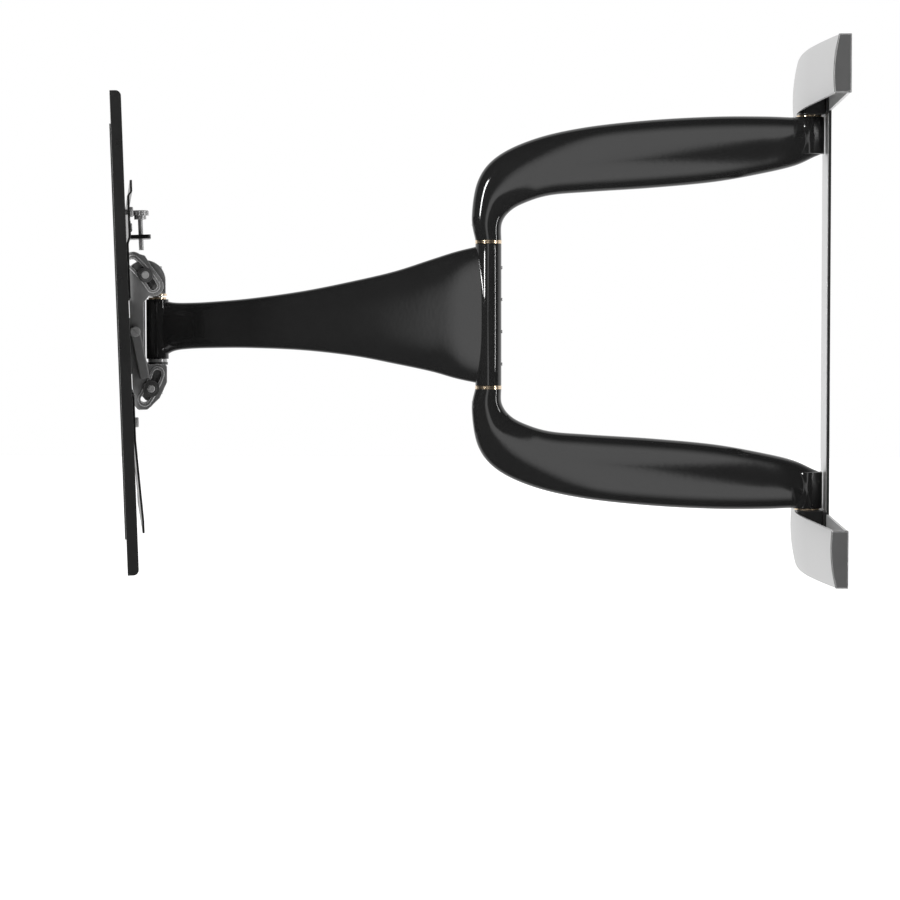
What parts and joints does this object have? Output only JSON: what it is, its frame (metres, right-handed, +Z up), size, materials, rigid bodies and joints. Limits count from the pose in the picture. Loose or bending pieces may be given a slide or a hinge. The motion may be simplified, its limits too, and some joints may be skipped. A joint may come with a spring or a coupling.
{
  "type": "full motion tv wall mount",
  "caption": "Articulating wall mount: bowed silver wall frame, two gloss black cast arms, flared forearm and a swivelling, tilting screen bracket with uprights.",
  "frame": {"origin": "middle of the wall frame's back, on the wall plane", "axes": "+Z up, +Y into the wall, the mount reaches out along -Y, X runs along the wall"},
  "size_m": [0.479, 0.7297, 0.49],
  "materials": {
    "black_steel": "black powder coat",
    "satin_silver": "satin",
    "rail_steel": "light grey coat",
    "gunmetal": "dark moulded",
    "gloss_black": "gloss black enamel",
    "grey_casting": "dark grey coat",
    "zinc": "zinc plated",
    "brass": "turned",
    "dark_washer": "nylon",
    "grey_lever": "grey coat",
    "upright_paint": "black powder coat"
  },
  "bodies": {
    "wall_frame": {"wall_spine": "black_steel", "spine_cover": "satin_silver", "rail_top": "rail_steel", "rail_bottom": "rail_steel", "cover_top": "satin_silver", "cover_bottom": "satin_silver", "end_cap_top_left": "gunmetal", "end_cap_top_right": "gunmetal", "end_cap_bottom_left": "gunmetal", "end_cap_bottom_right": "gunmetal", "hinge_bracket_top": "black_steel", "hinge_bracket_bottom": "black_steel", "bracket_bolts": "zinc", "wall_pivot_pins": "zinc"},
    "fork": {"upper_arm": "gloss_black", "lower_arm": "gloss_black", "wall_pivot_bushes": "brass", "wall_pivot_washers": "brass", "elbow_pin": "zinc", "arm_set_screws": "zinc", "elbow_washers": "brass"},
    "forearm_body": {"forearm": "gloss_black", "elbow_bushes": "brass", "swivel_bushes": "brass", "barrel_screws": "zinc", "swivel_washers_upper": "brass", "swivel_washer_lower": "zinc"},
    "yoke": {"swivel_yoke": "grey_casting", "swivel_pin": "zinc", "swivel_washer_black": "dark_washer", "tilt_studs": "zinc", "friction_washers": "dark_washer", "tilt_washers": "dark_washer", "tilt_nuts": "dark_washer"},
    "tilt_bracket": {"tilt_base": "black_steel", "tilt_ear_right": "grey_casting", "tilt_ear_left": "grey_casting", "ear_screws": "zinc", "tension_screw": "zinc"},
    "tension_handle": {"tension_lever": "grey_lever"},
    "screen_frame": {"screen_plate_right": "black_steel", "screen_plate_left": "black_steel", "plate_bridge_top": "black_steel", "plate_bridge_middle": "black_steel", "plate_bridge_bottom": "black_steel", "thumb_tab": "black_steel", "tab_rivets": "zinc", "level_pivot_bolt": "zinc", "upright_right": "upright_paint", "upright_left": "upright_paint", "upright_lock_screws": "zinc"},
    "thumb_screw_body": {"thumb_screw": "zinc"}
  },
  "joints": [
    {"name": "wall_swing", "type": "hinge", "parent": "wall_frame", "child": "fork", "pos_m": [0, -0.0185, 0], "axis": [0, 0, 1], "range_deg": [-90, 90]},
    {"name": "elbow", "type": "hinge", "parent": "fork", "child": "forearm_body", "pos_m": [0, -0.3243, 0], "axis": [0, 0, -1], "range_deg": [-95, 95]},
    {"name": "head_swivel", "type": "hinge", "parent": "forearm_body", "child": "yoke", "pos_m": [0, -0.6455, 0], "axis": [0, 0, 1], "range_deg": [-68.6, 47.4]},
    {"name": "head_tilt", "type": "hinge", "parent": "yoke", "child": "tilt_bracket", "pos_m": [0.01702, -0.73642, -0.028], "axis": [0.9829, 0.184, 0], "range_deg": [-6.5, 6.9]},
    {"name": "tension_lever_turn", "type": "hinge", "parent": "tilt_bracket", "child": "tension_handle", "pos_m": [0.0335, -0.66141, -0.01737], "axis": [0.9829, 0.184, 0], "range_deg": [0, 30]},
    {"name": "screen_level", "type": "hinge", "parent": "tilt_bracket", "child": "screen_frame", "pos_m": [0.00523, -0.67342, -0.02999], "axis": [-0.1839, 0.9825, 0.0314], "range_deg": [-3, 3]},
    {"name": "thumb_screw_turn", "type": "hinge", "parent": "screen_frame", "child": "thumb_screw_body", "pos_m": [0.00289, -0.66096, 0.08247], "axis": [0.0058, -0.0309, 0.9995], "range_deg": [-360, 360]}
  ]
}
